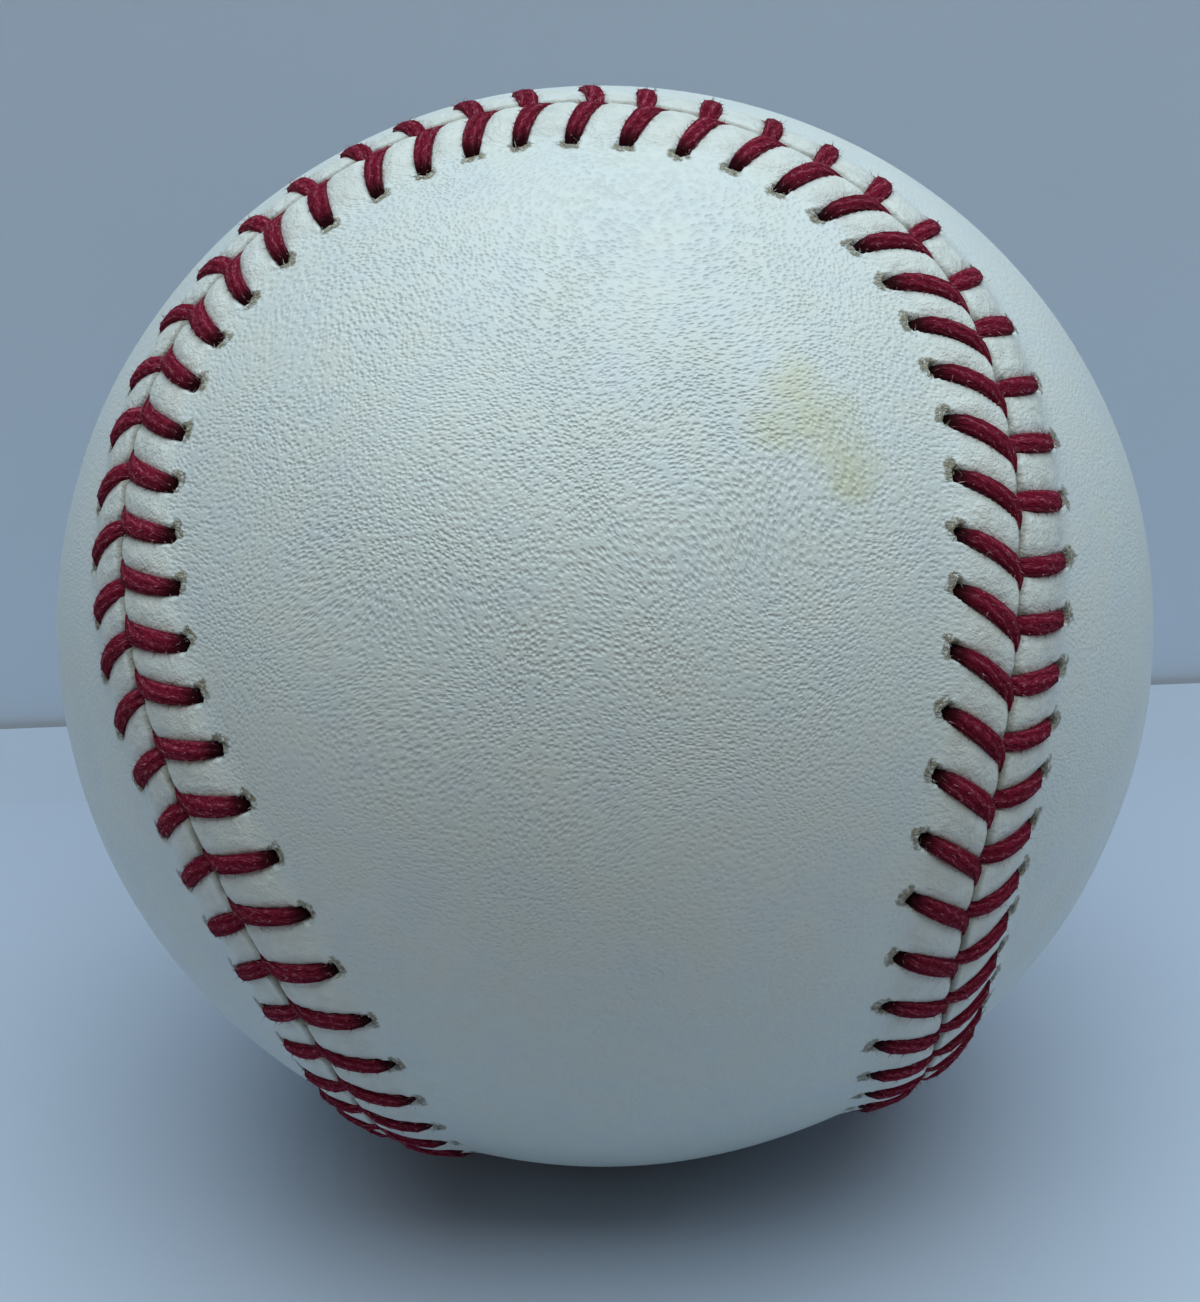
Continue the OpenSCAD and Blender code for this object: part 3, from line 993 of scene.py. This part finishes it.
# %% [markdown]
# ### What lies under the cover
# The CAD nodes of the core and the windings keep their shapes, and none of them shows on the whole
# ball. They still get the finish of the real thing, for whoever takes the part open: pressed cork
# granules, moulded rubber, wound yarn and brushed cement.

# %% Cork and rubber
GRANULE = 2.0


def cork_composition():
    """Cork granules of about 2 mm, each of its own brown, in a darker binder."""
    material, shader, add, place = new_material("pressed_cork_composition", Roughness=0.8)
    cells = {"Vector": place, "Scale": 1 / (GRANULE * MM)}
    granule = add("TexVoronoi", cells, out="Color")
    rim = add("TexVoronoi", cells, feature="DISTANCE_TO_EDGE")
    brown = add("SeparateXYZ", (granule,))
    tone = add("ValToRGB", (brown,), stops=((0, "8a5c34"), (1, "cda06c")))
    edge = add("MapRange", (rim, 0, 0.08, 1, 0))
    colour = add("Mix", {0: edge, 6: tone, 7: linear("4b2f1c")}, out=2, data_type="RGBA")
    surface(shader, add, colour, rim, 0.3)
    return material


def moulded_rubber(name, dark, light):
    """Moulded rubber: a fine matt texture of 0.3 mm, and a pale bloom in patches of 7 mm."""
    material, shader, add, place = new_material(name, Roughness=0.62, IOR=1.52)
    bloom = add("TexNoise", {"Vector": place, "Scale": 1 / (7.0 * MM), "Detail": 4})
    tone = add("ValToRGB", (bloom,), stops=((0.4, dark), (0.75, light)))
    matt = add("TexNoise", {"Vector": place, "Scale": 1 / (0.3 * MM)})
    surface(shader, add, tone, matt, 0.05, 0.4)
    return material


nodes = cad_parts
dress(cork_composition(), nodes["cork_core"])
black = moulded_rubber("moulded_black_rubber", "1b1b1c", "3a3a3b")
dress(black, nodes["black_shell_lower"], nodes["black_shell_upper"])
red = moulded_rubber("moulded_red_rubber", "7c2019", "a5473a")
dress(red, nodes["core_gasket"], nodes["red_shell_lower"], nodes["red_shell_upper"])

# %% [markdown]
# ### Wound yarn
# A winding machine lays yarn round the core along great circles whose direction keeps changing.
# Parallel waves in four directions, of which the highest wins at each point, give that net of
# crossing turns. The spacing is the yarn's real width.

# %% Yarn and cement
WIND_TURNS = ((0, 0, 0), (1.1, 0.3, 0), (0.5, 1, 0.6), (-0.9, 0.7, 1.2))
YARN_SWAY = 4.0
YARN_ROUND = 0.25
YARN_HAIR = 0.15


def wound_yarn(name, width, dark, light):
    """The highest of four families of waves, each wave as wide as the yarn, with fuzz over it."""
    material, shader, add, place = new_material(name, Roughness=0.9)
    sway, hair = [add("TexNoise", {"Vector": place, "Scale": 1 / (mm * MM)}) for mm in (12, 0.25)]
    top = -1.0
    for turn in WIND_TURNS:
        laid = add("Mapping", {"Vector": place, "Rotation": turn})
        across = add("SeparateXYZ", (laid,), out="Z")
        phase = add("Math", (sway, YARN_SWAY * MM, across), operation="MULTIPLY_ADD")
        phase = add("Math", (phase, 2 * math.pi / (width * MM)), operation="MULTIPLY")
        crest = add("Math", (phase,), operation="SINE")
        slow = add("TexNoise", {"Vector": laid, "Scale": 1 / (9 * MM)})
        height = add("Math", (crest, YARN_ROUND, slow), operation="MULTIPLY_ADD")
        top = add("Math", (top, height), operation="MAXIMUM")
    rough = add("Math", (hair, YARN_HAIR, top), operation="MULTIPLY_ADD")
    # The colour follows the relief, so the grooves between turns are darker: painted shade
    tone = add("ValToRGB", (rough,), stops=((0.45, dark), (0.85, light)))
    surface(shader, add, tone, rough, 0.5 * width)
    return material


def brushed_cement():
    """Rubber cement brushed on thin: amber, glossy, with streaks about 1.5 mm apart."""
    material, shader, add, place = new_material("brushed_rubber_cement", Roughness=0.32, IOR=1.52)
    drawn = add("Mapping", {"Vector": place, "Scale": (1, 1, 0.15)})
    streak = add("TexNoise", {"Vector": drawn, "Scale": 1 / (1.5 * MM), "Detail": 3})
    tone = add("ValToRGB", (streak,), stops=((0, "8f7440"), (1, "d8c795")))
    surface(shader, add, tone, streak, 0.1)
    return material


grey = wound_yarn("wound_grey_wool", 1.6, "3d3c3b", "8d8b88")
dress(grey, nodes["grey_wool_first"], nodes["grey_wool_third"])
dress(wound_yarn("wound_white_wool", 1.4, "a39c8c", "e6e0d2"), nodes["white_wool_second"])
dress(wound_yarn("wound_finish_yarn", 0.5, "aca593", "efe9dc"), nodes["finish_yarn"])
dress(brushed_cement(), nodes["cement_coat"])
print(len(bpy.data.materials), "materials so far")

# %% [markdown]
# ## Table and wall
# The photograph was taken from about twenty degrees above a pale table, close to a wall. The far
# edge of the table turns up a little and shows as a bright strip under the grey wall. The ball lay
# rolled from its own axes, and the part keeps its axes straight, so the table is what leans: it
# touches the ball at the point that was lowest in the photograph. Both cards are clear to a camera
# behind or below them, so that the ball can be looked at from all sides.

# %% Shape of the table and the wall
CAMERA_PITCH = math.radians(21)
CAMERA_ROLL = math.radians(2.2)
TABLE_FRONT = -0.07
TABLE_BACK = 0.057
FOLD = 0.009
FOLD_RISE = math.radians(30)
WALL_HEIGHT = 0.15
WALL_GAP = 0.001
STAGE_HALF = 1.1

level = right * math.cos(CAMERA_ROLL) - down * math.sin(CAMERA_ROLL)
plumb = right * math.sin(CAMERA_ROLL) + down * math.cos(CAMERA_ROLL)
gravity = plumb * math.cos(CAMERA_PITCH) + forward * math.sin(CAMERA_PITCH)
back = np.cross(level, gravity)


def lowest_point(piece):
    """How far the piece reaches along gravity from the ball's centre, in metres."""
    flat = np.empty(len(piece.data.vertices) * 3, dtype=np.float32)
    piece.data.vertices.foreach_get("co", flat)
    return float((flat.reshape(-1, 3) @ gravity).max())


def stage_sheet(name, *profile):
    """Pairs of a run towards the back and a rise above the table, carried straight across."""
    line = gravity * table_at + np.array(profile) @ np.stack([back, -gravity])
    points = np.concatenate([line - level * STAGE_HALF, line + level * STAGE_HALF])
    n = len(profile)
    k = np.arange(n - 1)
    sheet = mesh_object(name, points, [np.stack([k, k + n, k + n + 1, k + 1], axis=-1)])
    return sheet


table_at = max(lowest_point(panel_a), lowest_point(panel_b))
fold_end = TABLE_BACK + FOLD * math.cos(FOLD_RISE)
fold_rise = FOLD * math.sin(FOLD_RISE)
table = stage_sheet("table_sheet", (TABLE_FRONT, 0), (TABLE_BACK, 0), (fold_end, fold_rise))
wall = stage_sheet("wall_card", (fold_end + WALL_GAP, 0), (fold_end + WALL_GAP, WALL_HEIGHT))
print("the table touches the ball", round(table_at / MM, 2), "mm below its centre")

# %% Card of the table and the wall


def matt_card(name, dark, pale):
    """Matt card with a slight mottle of 60 mm, clear to camera rays that meet its back."""
    material, shader, add = mottled(name, 60, ((0, dark), (1, pale)), detail=3, Roughness=0.9)
    camera_ray = add("LightPath", out="Is Camera Ray")
    backside = add("NewGeometry", out="Backfacing")
    behind = add("Math", (camera_ray, backside), operation="MULTIPLY")
    clear = add("BsdfTransparent")
    either = add("MixShader", (behind, shader.outputs[0], clear))
    tree = material.node_tree
    tree.links.new(either, tree.nodes["Material Output"].inputs["Surface"])
    return material


dress(matt_card("matt_white_table_card", "b0bccc", "b8c4d3"), table)
dress(matt_card("matt_grey_wall_card", "c6d4e4", "cedbe8"), wall)

# %% [markdown]
# ## Light
# The light in the photograph is soft and comes from overhead, a little from the front, with a dim,
# warmer room round it: one large square lamp and a weak world. Where no card is behind the ball,
# the camera sees a plain backdrop in the wall's grey, which sheds no light.

# %% Lamp and world
KEY_DISTANCE = 0.85
KEY_LEAN = math.radians(6)
KEY_ASIDE = 0.08
KEY_SIZE = 1.2
KEY_WATTS = 11.6
ROOM_STRENGTH = 0.13

key_from = unit(-gravity * math.cos(KEY_LEAN) - back * math.sin(KEY_LEAN) + level * KEY_ASIDE)
across = unit(np.cross(forward + 0.01, key_from))
lamp = bpy.data.lights.new("overhead_softbox", "AREA")
lamp.size = KEY_SIZE
lamp.energy = KEY_WATTS
lamp.color = linear("e6f6ff")[:3]
stand("overhead_softbox", lamp, across, np.cross(key_from, across), key_from,
      key_from * KEY_DISTANCE)

world = bpy.data.worlds.new("soft_room")
world.use_nodes = True
tree = world.node_tree
room = tree.nodes["Background"]
room.inputs["Color"].default_value = linear("fff4e6")
room.inputs["Strength"].default_value = ROOM_STRENGTH
backdrop = add_node(tree, "Background", {"Color": linear("9db0c4"), "Strength": 1})
camera_ray = add_node(tree, "LightPath", out="Is Camera Ray")
either = add_node(tree, "MixShader", (camera_ray, room.outputs[0], backdrop))
tree.links.new(either, tree.nodes["World Output"].inputs["Surface"])
bpy.context.scene.world = world
bpy.context.scene.view_settings.view_transform = "Standard"
print("key lamp from", key_from.round(2))

# %% [markdown]
# ## The CAD model's size
# The dressed ball has to keep to the CAD model's box, which is written out here in mm.

# %% Write the CAD box
print("CAD box in mm", (np.subtract(cad_hi, cad_lo) / MM).round(2))
